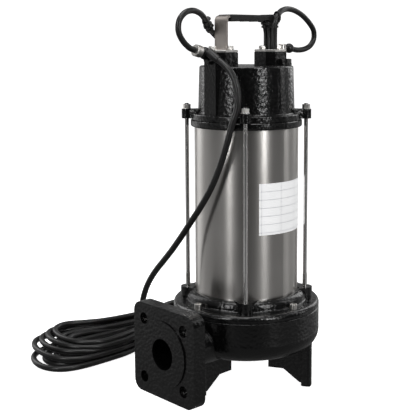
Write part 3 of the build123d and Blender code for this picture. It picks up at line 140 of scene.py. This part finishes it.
def nurbs(name, points, radius, resolution=8):
    curve = bpy.data.curves.new(name, "CURVE")
    curve.dimensions = "3D"
    spline = curve.splines.new("NURBS")
    spline.points.add(len(points) - 1)
    for p, co in zip(spline.points, points):
        p.co = (*co, 1.0)
    spline.order_u = 3
    spline.use_endpoint_u = True
    spline.resolution_u = resolution
    curve.bevel_depth = radius
    curve.bevel_resolution = 6
    curve.use_fill_caps = True
    obj = bpy.data.objects.new(name, curve)
    bpy.context.scene.collection.objects.link(obj)
    return obj


# the cable runs into the near side of the hank's lowest turn
points = hank_points()
lead_in = CABLE[:-1] + [(-0.2135, -0.0320, 0.0212), (-0.2155, -0.0140, 0.0122), (-0.2190, 0.0100, 0.0066)]
route = shifted(lead_in + points[2:])
cable = nurbs("cable_line", route, 0.0046, 10)


# ---------------------------------------------------------------- materials
def new_mat(name):
    mat = bpy.data.materials.new(name)
    mat.use_nodes = True
    nt = mat.node_tree
    bsdf = nt.nodes.get("Principled BSDF")
    return mat, nt, bsdf


def add(nt, kind, **values):
    node = nt.nodes.new(kind)
    for k, v in values.items():
        if hasattr(node, k):
            setattr(node, k, v)
        else:
            node.inputs[k].default_value = v
    return node


def coords(nt, scale=(1, 1, 1)):
    tex = add(nt, "ShaderNodeTexCoord")
    mp = add(nt, "ShaderNodeMapping")
    mp.inputs["Scale"].default_value = scale
    nt.links.new(tex.outputs["Object"], mp.inputs["Vector"])
    return mp.outputs["Vector"]


def noise(nt, vec, scale, detail=3.0, rough=0.5):
    n = add(nt, "ShaderNodeTexNoise")
    n.inputs["Scale"].default_value = scale
    n.inputs["Detail"].default_value = detail
    n.inputs["Roughness"].default_value = rough
    nt.links.new(vec, n.inputs["Vector"])
    return n.outputs["Fac"]


def ramp(nt, fac, stops):
    r = add(nt, "ShaderNodeValToRGB")
    els = r.color_ramp.elements
    while len(els) < len(stops):
        els.new(0.5)
    for e, (pos, col) in zip(els, stops):
        e.position = pos
        e.color = (*col, 1.0)
    nt.links.new(fac, r.inputs["Fac"])
    return r.outputs["Color"]


def grey(v):
    return (v, v, v)


def span(nt, fac, lo, hi):
    m = add(nt, "ShaderNodeMapRange")
    m.inputs["To Min"].default_value = lo
    m.inputs["To Max"].default_value = hi
    nt.links.new(fac, m.inputs["Value"])
    return m.outputs["Result"]


def bump(nt, bsdf, height, strength, distance, normal=None):
    b = add(nt, "ShaderNodeBump")
    b.inputs["Strength"].default_value = strength
    b.inputs["Distance"].default_value = distance
    nt.links.new(height, b.inputs["Height"])
    if normal is not None:
        nt.links.new(normal, b.inputs["Normal"])
    if bsdf is not None:
        nt.links.new(b.outputs["Normal"], bsdf.inputs["Normal"])
    return b.outputs["Normal"]


def painted_iron(name, dark, light, rough_lo, rough_hi, coat=0.0, peel=0.00035, scale=160.0):
    """Hammered black enamel on cast iron: orange peel and soft mottling."""
    mat, nt, bsdf = new_mat(name)
    vec = coords(nt)
    broad = noise(nt, vec, 22.0, 4.0)
    nt.links.new(ramp(nt, broad, [(0.3, dark), (0.72, light)]), bsdf.inputs["Base Color"])
    fine = noise(nt, vec, scale, 0.6, 0.5)
    grain = noise(nt, vec, scale * 3.1, 1.0, 0.5)
    nt.links.new(span(nt, fine, rough_lo, rough_hi), bsdf.inputs["Roughness"])
    n1 = bump(nt, None, grain, 0.22, peel * 0.5)
    bump(nt, bsdf, fine, 0.55, peel, n1)
    bsdf.inputs["Specular IOR Level"].default_value = 0.55
    bsdf.inputs["Coat Weight"].default_value = coat
    bsdf.inputs["Coat Roughness"].default_value = 0.16
    return mat


def metal(name, tint_a, tint_b, rough_lo, rough_hi, brushed=(1, 1, 1), scale=60.0, distance=0.00006, aniso=0.0):
    """Stainless or machined metal with brushing along one direction, smudges and fine scratches."""
    mat, nt, bsdf = new_mat(name)
    bsdf.inputs["Metallic"].default_value = 1.0
    bsdf.inputs["Anisotropic"].default_value = aniso
    bsdf.inputs["Anisotropic Rotation"].default_value = 0.25
    vec = coords(nt)
    brush = noise(nt, coords(nt, brushed), scale, 4.0, 0.6)
    smudge = noise(nt, vec, 14.0, 3.0)
    nt.links.new(ramp(nt, smudge, [(0.3, tint_a), (0.75, tint_b)]), bsdf.inputs["Base Color"])
    mix = add(nt, "ShaderNodeMath", operation="MULTIPLY")
    nt.links.new(brush, mix.inputs[0])
    nt.links.new(span(nt, smudge, 0.8, 1.2), mix.inputs[1])
    nt.links.new(span(nt, mix.outputs[0], rough_lo, rough_hi), bsdf.inputs["Roughness"])
    bump(nt, bsdf, brush, 0.25, distance)
    return mat


def rubber(name, dark, light, rough_lo, rough_hi, scale=420.0, distance=0.00012):
    """Extruded or moulded black rubber with a satin skin, faint bloom and fine grain."""
    mat, nt, bsdf = new_mat(name)
    vec = coords(nt)
    bloom = noise(nt, vec, 26.0, 3.0)
    nt.links.new(ramp(nt, bloom, [(0.3, dark), (0.75, light)]), bsdf.inputs["Base Color"])
    fine = noise(nt, vec, scale, 3.0)
    nt.links.new(span(nt, bloom, rough_lo, rough_hi), bsdf.inputs["Roughness"])
    bump(nt, bsdf, fine, 0.25, distance)
    return mat


MAT = {}
MAT["black_cast_iron"] = painted_iron("black_enamel", grey(0.0025), (0.0045, 0.0045, 0.0048), 0.16, 0.26, 0.1, 0.0011, 240.0)
MAT["outlet_iron"] = painted_iron("charcoal_enamel", grey(0.035), (0.05, 0.05, 0.051), 0.42, 0.6, 0.05, 0.0004, 190.0)
MAT["bare_cast_iron"] = painted_iron("bare_iron", (0.11, 0.108, 0.105), (0.2, 0.195, 0.19), 0.45, 0.62, 0.0, 0.0004, 300.0)
MAT["stainless"] = metal("brushed_stainless", (0.62, 0.60, 0.575), (0.70, 0.68, 0.655), 0.25, 0.35, (1, 1, 14), 260.0, 0.000012, 0.7)
MAT["strap"] = metal("strap_stainless", (0.50, 0.455, 0.42), (0.60, 0.555, 0.52), 0.36, 0.5, (30, 1, 1), 60.0)
MAT["polished_stainless"] = metal("polished_stainless", (0.80, 0.775, 0.74), (0.90, 0.885, 0.86), 0.28, 0.42, (1, 1, 1), 160.0, 0.00004)
MAT["rod_stainless"] = metal("drawn_stainless", (0.66, 0.65, 0.64), (0.8, 0.79, 0.78), 0.14, 0.26, (1, 1, 0.1), 300.0)
MAT["shaft_steel"] = metal("ground_steel", (0.55, 0.55, 0.56), (0.68, 0.68, 0.69), 0.12, 0.25, (1, 1, 14), 90.0)
MAT["lamination"] = metal("lamination_steel", (0.2, 0.2, 0.215), (0.34, 0.34, 0.355), 0.4, 0.55, (0.2, 0.2, 40), 55.0, 0.0002)
MAT["aluminium"] = metal("cast_aluminium", (0.62, 0.62, 0.63), (0.78, 0.78, 0.79), 0.35, 0.5, (1, 1, 1), 200.0, 0.0002)
MAT["brass"] = metal("machined_brass", (0.62, 0.45, 0.18), (0.78, 0.60, 0.28), 0.18, 0.32, (1, 1, 10), 120.0)
MAT["copper"] = metal("varnished_copper", (0.48, 0.2, 0.09), (0.66, 0.32, 0.16), 0.25, 0.4, (1, 1, 6), 420.0, 0.0004)
MAT["black_rubber"] = rubber("cable_rubber", grey(0.009), grey(0.015), 0.28, 0.4)
MAT["soft_rubber"] = rubber("boot_rubber", grey(0.005), grey(0.01), 0.3, 0.42, 300.0)
MAT["black_plastic"] = rubber("grip_plastic", grey(0.006), grey(0.011), 0.36, 0.5, 500.0, 0.0003)
MAT["pale_plastic"] = rubber("pale_plastic", (0.55, 0.55, 0.52), (0.66, 0.66, 0.63), 0.4, 0.52, 500.0)


def label_material():
    """White printed film: a blank form with thin pale rules and no lettering. The film also glows faintly in its own
    colour, a painted light that brightens it as front light would.
    """
    mat, nt, bsdf = new_mat("printed_film_painted_glow")
    tex = add(nt, "ShaderNodeTexCoord")
    sep = add(nt, "ShaderNodeSeparateXYZ")
    nt.links.new(tex.outputs["Object"], sep.inputs[0])
    ang = add(nt, "ShaderNodeMath", operation="ARCTAN2")
    sub = add(nt, "ShaderNodeMath", operation="SUBTRACT")
    sub.inputs[1].default_value = AXIS_Y
    nt.links.new(sep.outputs["Y"], sub.inputs[0])
    nt.links.new(sub.outputs[0], ang.inputs[0])
    nt.links.new(sep.outputs["X"], ang.inputs[1])

    def rules(value, period, width, start):
        a = add(nt, "ShaderNodeMath", operation="SUBTRACT")
        a.inputs[1].default_value = start
        nt.links.new(value, a.inputs[0])
        b = add(nt, "ShaderNodeMath", operation="PINGPONG")
        b.inputs[1].default_value = period / 2
        nt.links.new(a.outputs[0], b.inputs[0])
        c = add(nt, "ShaderNodeMath", operation="LESS_THAN")
        c.inputs[1].default_value = width
        nt.links.new(b.outputs[0], c.inputs[0])
        return c.outputs[0]

    h = rules(sep.outputs["Z"], 0.0118, 0.00035, 0.2425)
    v = rules(ang.outputs[0], 0.42, 0.0045, -0.49)
    m = add(nt, "ShaderNodeMath", operation="MAXIMUM")
    nt.links.new(h, m.inputs[0])
    nt.links.new(v, m.inputs[1])
    fac = span(nt, m.outputs[0], 0.0, 1.0)
    film = noise(nt, coords(nt), 40.0, 2.0)
    base = ramp(nt, film, [(0.3, (0.90, 0.905, 0.91)), (0.7, (0.95, 0.95, 0.955))])
    mix = add(nt, "ShaderNodeMix", data_type="RGBA")
    nt.links.new(fac, mix.inputs[0])
    nt.links.new(base, mix.inputs[6])
    mix.inputs[7].default_value = (0.42, 0.43, 0.45, 1.0)
    nt.links.new(mix.outputs[2], bsdf.inputs["Base Color"])
    # painted light: the film glows in its own printed colour, standing in for front light falling on it
    nt.links.new(mix.outputs[2], bsdf.inputs["Emission Color"])
    bsdf.inputs["Emission Strength"].default_value = 0.38
    nt.links.new(span(nt, film, 0.3, 0.4), bsdf.inputs["Roughness"])
    bump(nt, bsdf, noise(nt, coords(nt), 500.0, 2.0), 0.1, 0.00005)
    return mat


MAT["white_label"] = label_material()

slot_of = {s["node"]: s["material_slot"] for s in frame["record"]["subparts"]}
SPECIAL = {
    "handle_strap": "strap", "tie_rods": "rod_stainless", "left_cable_boot": "soft_rubber", "right_cable_boot": "soft_rubber",
    "cable_strain_relief": "soft_rubber", "supply_plug": "soft_rubber",
}
for name, obj in nodes.items():
    mat = MAT[SPECIAL.get(name, slot_of[name])]
    if not obj.material_slots:
        obj.data.materials.append(mat)
    for s in obj.material_slots:
        s.material = mat

# --------------------------------------------------------------- cable as cord
cable.data.materials.append(MAT["black_rubber"])
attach(cable, "pump")
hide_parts("supply_cable", "supply_cable_hank")

# ------------------------------------------------------------- floor and light
def make_floor():
    me = bpy.data.meshes.new("floor")
    bm = bmesh.new()
    profile = [(2.6, 0.0), (-2.2, 0.0)]
    for i in range(1, 13):
        a = math.radians(90) * i / 12
        profile.append((-2.2 - 0.9 * math.sin(a), 0.9 - 0.9 * math.cos(a)))
    profile.append((-3.1, 3.4))
    rot = Matrix.Rotation(math.radians(45.876 - 90), 4, "Z")
    rows = []
    for d, z in profile:
        rows.append([bm.verts.new(rot @ Vector((d, w, z - 0.0005))) for w in (-3.6, 3.6)])
    for a, b in zip(rows, rows[1:]):
        f = bm.faces.new((a[0], a[1], b[1], b[0]))
        f.smooth = True
    bmesh.ops.recalc_face_normals(bm, faces=bm.faces[:])
    bm.to_mesh(me)
    bm.free()
    obj = bpy.data.objects.new("floor", me)
    bpy.context.scene.collection.objects.link(obj)
    mat, nt, bsdf = new_mat("studio_floor")
    n = noise(nt, coords(nt), 6.0, 2.0)
    nt.links.new(ramp(nt, n, [(0.3, (0.93, 0.93, 0.93)), (0.7, (0.95, 0.95, 0.95))]), bsdf.inputs["Base Color"])
    bsdf.inputs["Roughness"].default_value = 0.9
    bsdf.inputs["Emission Color"].default_value = (1, 1, 1, 1)
    bsdf.inputs["Emission Strength"].default_value = 0.9
    me.materials.append(mat)
    obj.visible_glossy = False
    obj.visible_diffuse = False
    return mat


def make_backdrop(mat):
    """A pale studio shell far behind the floor on every side; it neither lights nor mirrors in the pump."""
    me = bpy.data.meshes.new("backdrop")
    bm = bmesh.new()
    rings = []
    for r, z in ((8.0, -0.004), (9.0, 0.3), (9.4, 1.6), (9.2, 5.0), (6.0, 8.0)):
        rings.append([bm.verts.new((r * math.cos(math.tau * i / 48), r * math.sin(math.tau * i / 48), z)) for i in range(48)])
    for a, b in zip(rings, rings[1:]):
        for i in range(48):
            f = bm.faces.new((a[i], a[(i + 1) % 48], b[(i + 1) % 48], b[i]))
            f.smooth = True
    bm.faces.new(rings[0])
    bm.faces.new(rings[-1])
    bmesh.ops.recalc_face_normals(bm, faces=bm.faces[:])
    bm.to_mesh(me)
    bm.free()
    obj = bpy.data.objects.new("backdrop", me)
    bpy.context.scene.collection.objects.link(obj)
    me.materials.append(mat)
    obj.visible_glossy = False
    obj.visible_diffuse = False
    obj.visible_transmission = False
    obj.visible_shadow = False


make_backdrop(make_floor())


def area(name, location, target, size, power, size_y=None, color=(1, 1, 1)):
    light = bpy.data.lights.new(name, "AREA")
    light.shape = "RECTANGLE"
    light.size = size
    light.size_y = size_y or size
    light.energy = power
    light.color = color
    obj = bpy.data.objects.new(name, light)
    obj.location = location
    obj.rotation_euler = (Vector(target) - Vector(location)).to_track_quat("-Z", "Y").to_euler()
    bpy.context.scene.collection.objects.link(obj)
    return obj


def polar(right, toward, z):
    """A place given from the camera's side: metres to its right, metres towards it, height."""
    az = math.radians(45.876)
    return (right * math.cos(az) + toward * math.sin(az), right * math.sin(az) - toward * math.cos(az) + AXIS_Y, z)


def strip(name, azimuth, distance, width, height, z, radiance, color=(1, 1, 1)):
    """An upright soft box; azimuth 0 is towards the camera, positive is to its right."""
    a = math.radians(azimuth)
    spot = polar(distance * math.sin(a), distance * math.cos(a), z)
    return area(name, spot, (0, AXIS_Y, min(z, 0.35)), width, radiance * math.pi * width * height, height, color)


strip("strip_right_front", 39, 1.7, 0.2, 1.5, 1.1, 13.0)
strip("strip_left_front", -37, 1.7, 0.18, 1.5, 1.1, 12.5)
strip("strip_right", 97, 1.7, 0.26, 1.5, 1.09, 2.4)
strip("box_back_left", -124, 1.8, 0.7, 1.5, 1.09, 2.2)
strip("box_back_right", 140, 1.8, 0.8, 1.5, 1.09, 1.8)
area("top", polar(-0.1, 0.1, 2.1), (0, 0, 0.3), 1.3, 3.0 * math.pi * 1.69)

world = bpy.data.worlds.new("studio")
bpy.context.scene.world = world
world.use_nodes = True
wnt = world.node_tree
wtex = add(wnt, "ShaderNodeTexCoord")
wmap = add(wnt, "ShaderNodeMapping")
wmap.inputs["Rotation"].default_value = (0, 0, math.radians(90 - 45.876))
wnt.links.new(wtex.outputs["Generated"], wmap.inputs["Vector"])
wsep = add(wnt, "ShaderNodeSeparateXYZ")
wnt.links.new(wmap.outputs[0], wsep.inputs[0])
wang = add(wnt, "ShaderNodeMath", operation="ARCTAN2")
wnt.links.new(wsep.outputs["Y"], wang.inputs[0])
wnt.links.new(wsep.outputs["X"], wang.inputs[1])
wturn = add(wnt, "ShaderNodeMapRange")
wturn.inputs["From Min"].default_value = -math.pi
wturn.inputs["From Max"].default_value = math.pi
wnt.links.new(wang.outputs[0], wturn.inputs["Value"])


def around(stops):
    """Grey of the room by bearing in degrees from the front, positive to the right."""
    return ramp(wnt, wturn.outputs["Result"], [((a + 180) / 360, grey(v)) for a, v in stops])


low = around([
    (-180, 0.5), (-135, 0.9), (-125, 0.9), (-112, 0.42), (-100, 0.34), (-78, 0.34), (-60, 0.44), (-49, 0.33), (-37, 0.32), (-25, 0.13), (-10, 0.07),
    (6, 0.035), (20, 0.07), (33, 0.16), (43, 0.5), (55, 0.2), (69, 0.32), (86, 0.22), (100, 0.75), (114, 0.26), (150, 0.4), (180, 0.5),
])
high = around([
    (-180, 0.4), (-135, 0.75), (-124, 0.8), (-108, 0.26), (-90, 0.26), (-74, 0.12), (-60, 0.12), (-49, 0.04), (-37, 0.06), (-25, 0.03), (-10, 0.015),
    (6, 0.012), (20, 0.035), (33, 0.08), (43, 0.38), (54, 0.1), (69, 0.06), (84, 0.035), (100, 0.32), (116, 0.15), (150, 0.35), (180, 0.4),
])
deep = around([
    (-180, 0.5), (-135, 0.9), (-122, 0.9), (-104, 0.36), (-72, 0.34), (-58, 0.4), (-48, 0.24), (-40, 0.5), (-33, 0.85), (-25, 0.4), (-16, 0.14),
    (2, 0.07), (20, 0.12), (33, 0.25), (40, 0.8), (46, 0.85), (53, 0.35), (63, 0.24), (76, 0.4), (90, 0.26), (104, 0.7), (120, 0.36), (150, 0.4), (180, 0.5),
])
wdeep = add(wnt, "ShaderNodeMapRange")
wdeep.inputs["From Min"].default_value = -0.25
wdeep.inputs["From Max"].default_value = -0.205
wnt.links.new(wsep.outputs["Z"], wdeep.inputs["Value"])
ground = add(wnt, "ShaderNodeMix", data_type="RGBA")
wnt.links.new(wdeep.outputs["Result"], ground.inputs[0])
wnt.links.new(deep, ground.inputs[6])
wnt.links.new(low, ground.inputs[7])
wmix = add(wnt, "ShaderNodeMapRange")
wmix.inputs["From Min"].default_value = -0.21
wmix.inputs["From Max"].default_value = -0.07
wnt.links.new(wsep.outputs["Z"], wmix.inputs["Value"])
room = add(wnt, "ShaderNodeMix", data_type="RGBA")
wnt.links.new(wmix.outputs["Result"], room.inputs[0])
wnt.links.new(ground.outputs[2], room.inputs[6])
wnt.links.new(high, room.inputs[7])
wlift = add(wnt, "ShaderNodeMapRange")
wlift.inputs["From Min"].default_value = 0.1
wlift.inputs["From Max"].default_value = 0.75
wnt.links.new(wsep.outputs["Z"], wlift.inputs["Value"])
upper = around([(-180, 0.3), (-135, 0.4), (-100, 0.34), (-82, 0.12), (-68, 0.02), (0, 0.012), (70, 0.012), (104, 0.02), (118, 0.26), (150, 0.32), (180, 0.3)])
wup = add(wnt, "ShaderNodeMapRange")
wup.inputs["From Min"].default_value = -0.08
wup.inputs["From Max"].default_value = -0.055
wnt.links.new(wsep.outputs["Z"], wup.inputs["Value"])
hall = add(wnt, "ShaderNodeMix", data_type="RGBA")
wnt.links.new(wup.outputs["Result"], hall.inputs[0])
wnt.links.new(room.outputs[2], hall.inputs[6])
wnt.links.new(upper, hall.inputs[7])
wpit = add(wnt, "ShaderNodeMapRange")
wpit.inputs["From Min"].default_value = -0.31
wpit.inputs["From Max"].default_value = -0.265
wnt.links.new(wsep.outputs["Z"], wpit.inputs["Value"])
base = add(wnt, "ShaderNodeMix", data_type="RGBA")
wnt.links.new(wpit.outputs["Result"], base.inputs[0])
base.inputs[6].default_value = (0.14, 0.14, 0.14, 1.0)
wnt.links.new(hall.outputs[2], base.inputs[7])
sky = add(wnt, "ShaderNodeMix", data_type="RGBA")
wnt.links.new(wlift.outputs["Result"], sky.inputs[0])
wnt.links.new(base.outputs[2], sky.inputs[6])
sky.inputs[7].default_value = (0.12, 0.12, 0.12, 1.0)
wnt.links.new(sky.outputs[2], wnt.nodes["Background"].inputs["Color"])
wnt.nodes["Background"].inputs["Strength"].default_value = 1.0
bpy.context.scene.view_settings.view_transform = "Standard"
